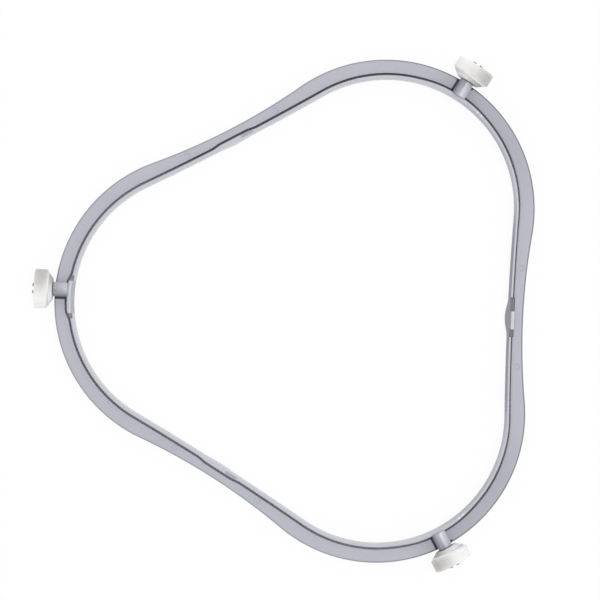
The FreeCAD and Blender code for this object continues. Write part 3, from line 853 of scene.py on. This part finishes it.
def axle_prongs(name, angle, shift, material):
    """The two springy halves of the split axle. The section is a segment of a circle, between the side
    of the slit and an arc, and its radius follows the shaft, the snap lip and the tapered tip along the
    axle."""
    lip_end = LIP_FACE + LIP_LAND
    taper = (LIP_RADIUS - TIP_RADIUS) / (TIP_END - lip_end)
    along, radius = np.array([
        (SLIT_FLOOR - EDGE_ROUND, AXLE_RADIUS),
        (LIP_FACE - LIP_FILLET, AXLE_RADIUS),
        (LIP_FACE, AXLE_RADIUS + LIP_ROUND),
        (LIP_FACE + LIP_ROUND, LIP_RADIUS),
        (lip_end, LIP_RADIUS),
        (lip_end + LIP_RUN_OUT, LIP_RADIUS - LIP_RUN_OUT * taper),
        (TIP_END - TIP_BEVEL, TIP_RADIUS + TIP_BEVEL_TAPER * taper),
        (TIP_END - TIP_NOSE, TIP_RADIUS - TIP_NOSE_DROP),
        (TIP_END, TIP_RADIUS - TIP_END_DROP)]).T
    reach = np.arccos(SLIT_HALF / radius)[:, None]
    part = np.linspace(-1.0, 1.0, PRONG_ARC_POINTS)
    arc_across = radius[:, None] * np.cos(reach * part)
    arc_up = radius[:, None] * np.sin(reach * part)
    chord = np.linspace(1.0, -1.0, PRONG_FLAT_POINTS)[1:-1]
    chord_up = radius[:, None] * np.sin(reach) * chord
    across = np.concatenate([arc_across, np.full_like(chord_up, SLIT_HALF)], axis=1)
    up = np.concatenate([arc_up, chord_up], axis=1)
    # Painted shade on the prongs, easing to half at the end of the tip
    shading = TIP_SHADE * (TIP_END_LESS_SHADE * step(along, TIP_END - TIP_FADE / 2, TIP_FADE) - 1.0)
    along, tone = (np.broadcast_to(values[:, None], up.shape) for values in (along, shading))
    for side, label in ((1.0, "left"), (-1.0, "right")):
        surface = about_axle(along, side * across, side * up, angle, shift)[:, ::-1]
        grid_piece(f"{name}_prong_{label}", surface, tone, material, "ring", capped=True)


def roller(name, angle, shift, material):
    """Roller with a bevelled inner side, a slightly domed outer face and a recess for the snap lip: a
    closed profile turned about the axle, its corners rounded by arcs. A fine line, a small notch with painted
    shade in it, runs round where the bevel meets the hub cone, and the painted shade on one side is a smooth
    step of the cosine of the swing round the axle."""
    edge = EDGE_ROUND
    rim = RIM_ROUND
    slope = math.degrees(math.atan2(ROLLER_DOME, ROLLER_RADIUS - RECESS_RADIUS))
    bevel = math.degrees(math.atan2(BEVEL_WIDTH, ROLLER_RADIUS - WEB_RADIUS))
    tread_start = TREAD_START + edge * math.tan(math.radians(90.0 - bevel) / 2.0)
    along, out = profile(
        (HUB_FACE, BORE_RADIUS + edge),
        (HUB_FACE, (BORE_RADIUS + HUB_RADIUS) / 2),
        (HUB_FACE + edge, HUB_RADIUS - edge, edge, 180, 135),
        (WEB_FACE - LINE_WIDTH / 2, WEB_RADIUS - 1.5 * LINE_WIDTH),
        (WEB_FACE + LINE_WIDTH / 2, WEB_RADIUS - LINE_WIDTH / 2),
        (WEB_FACE, WEB_RADIUS),
        (tread_start, ROLLER_RADIUS - edge, edge, 180 - bevel, 90),
        (RIM_FACE - rim, ROLLER_RADIUS - rim, rim, 90, slope),
        (ROLLER_END - edge, RECESS_RADIUS + edge, edge, slope, -90),
        (RECESS_FLOOR, RECESS_RADIUS),
        (RECESS_FLOOR, BORE_RADIUS + edge),
        (RECESS_FLOOR - edge, BORE_RADIUS),
        (HUB_FACE + edge, BORE_RADIUS))
    surface = lathe(along, out, angle, shift, ROLLER_SEGMENTS)
    by_line = np.abs(out - WEB_RADIUS) < LINE_WIDTH
    line = (np.exp(-((along - WEB_FACE - LINE_WIDTH / 2) / LINE_WIDTH) ** 2) * by_line)[:, None]
    # Painted shade on one side of the roller, and in the line round its inner side
    side_shade = ROLLER_SIDE_SHADE * step(-np.cos(swings(ROLLER_SEGMENTS)), *SHADE_SWEEP)
    tone = side_shade * (1.0 - line) - LINE_SHADE * line
    grid_piece(f"{name}_wheel", surface, tone, material, name)


def floor_white():
    """White sheet that the camera sees as white, apart from part of the object's shadow, and that throws
    less light back up than it shows."""
    material, shade, output = new_material("floor_white")
    direct = shade.node("ShaderNodeLightPath", output="Is Camera Ray")
    glossy = Shade(shade.tree, direct.socket.node.outputs["Is Glossy Ray"])
    through = Shade(shade.tree, direct.socket.node.outputs["Is Transmission Ray"])
    seen = direct.most(glossy).most(through)
    bounce = shade.node("ShaderNodeBsdfDiffuse", {}, {"Color": (*[FLOOR_BOUNCE] * 3, 1.0)})
    paper = shade.node("ShaderNodeBsdfDiffuse", {}, {"Color": (*[FLOOR_SEEN] * 3, 1.0)})
    glow = shade.node("ShaderNodeEmission", {}, {"Color": WHITE, "Strength": 1.0})
    bright = shade.node("ShaderNodeMixShader", {}, {0: FLOOR_GLOW, 1: paper, 2: glow})
    surface = shade.node("ShaderNodeMixShader", {}, {0: seen, 1: bounce, 2: bright})
    shade.tree.links.new(surface.socket, output.inputs["Surface"])
    return material


def add_floor():
    """Flat square sheet at the level that the rollers stand on."""
    corners = np.array([(-1, -1, 0), (1, -1, 0), (1, 1, 0), (-1, 1, 0)]) * FLOOR_HALF * MM
    mesh = bpy.data.meshes.new("floor")
    mesh.from_pydata(corners.tolist(), [], [(0, 1, 2, 3)])
    mesh.materials.append(floor_white())
    sheet = bpy.data.objects.new("floor", mesh)
    bpy.context.scene.collection.objects.link(sheet)


def add_surround():
    """White light from all round, weaker overhead than from the sides; the camera sees plain white."""
    world = bpy.data.worlds.new("surround")
    world.use_nodes = True
    tree = world.node_tree
    tree.nodes.clear()
    shade = Shade(tree)
    direction = shade.node("ShaderNodeTexCoord", output="Generated")
    upward = shade.node("ShaderNodeSeparateXYZ", {}, {0: direction}, "Z").between(0.0, 1.0)
    sides = shade.node("ShaderNodeBackground", {}, {"Color": WHITE, "Strength": HORIZON_LIGHT})
    overhead = shade.node("ShaderNodeBackground", {}, {"Color": WHITE, "Strength": ZENITH_LIGHT})
    sky = shade.node("ShaderNodeMixShader", {}, {0: upward, 1: sides, 2: overhead})
    seen = shade.node("ShaderNodeLightPath", output="Is Camera Ray")
    plain = shade.node("ShaderNodeBackground", {}, {"Color": WHITE, "Strength": 1.0})
    light = shade.node("ShaderNodeMixShader", {}, {0: seen, 1: sky, 2: plain})
    output = tree.nodes.new("ShaderNodeOutputWorld")
    tree.links.new(light.socket, output.inputs["Surface"])
    bpy.context.scene.world = world


def add_lamp():
    """Soft lamp, high on the right of the picture."""
    light = bpy.data.lights.new("lamp", "SUN")
    light.energy = LAMP_STRENGTH
    light.angle = math.radians(LAMP_ANGLE)
    holder = bpy.data.objects.new("lamp", light)
    tilt = math.radians(90.0 - LAMP_ELEVATION)
    turn = math.radians(90.0 + LAMP_AZIMUTH) + PICTURE_TURN
    holder.rotation_euler = (tilt, 0.0, turn)
    bpy.context.scene.collection.objects.link(holder)


def add_camera():
    """Camera straight above, turned and placed as the picture is."""
    lens = bpy.data.cameras.new("camera")
    lens.sensor_width = SENSOR
    lens.lens = SENSOR * CAMERA_HEIGHT / PICTURE_WIDTH
    lens.clip_start = CLIP_START
    holder = bpy.data.objects.new("camera", lens)
    x, y = turned(*PICTURE_MIDDLE, math.degrees(PICTURE_TURN))
    holder.location = (x * MM, y * MM, (FLANGE_TOP + CAMERA_HEIGHT) * MM)
    holder.rotation_euler = (0.0, 0.0, PICTURE_TURN)
    bpy.context.scene.collection.objects.link(holder)
    bpy.context.scene.camera = holder


grey = ring_plastic("ring_plastic_satin", 0.0)
grey_polished = ring_plastic("axle_plastic_polished", 1.0)
off_white = roller_plastic()
ring_moulding(grey)
for axle, (angle, shift) in AXLES.items():
    axle_boss(axle, angle, shift, grey_polished)
    axle_prongs(axle, angle, shift, grey_polished)
    roller(axle, angle, shift, off_white)
add_floor()
add_surround()
add_lamp()
add_camera()
bpy.context.scene.view_settings.view_transform = "Standard"
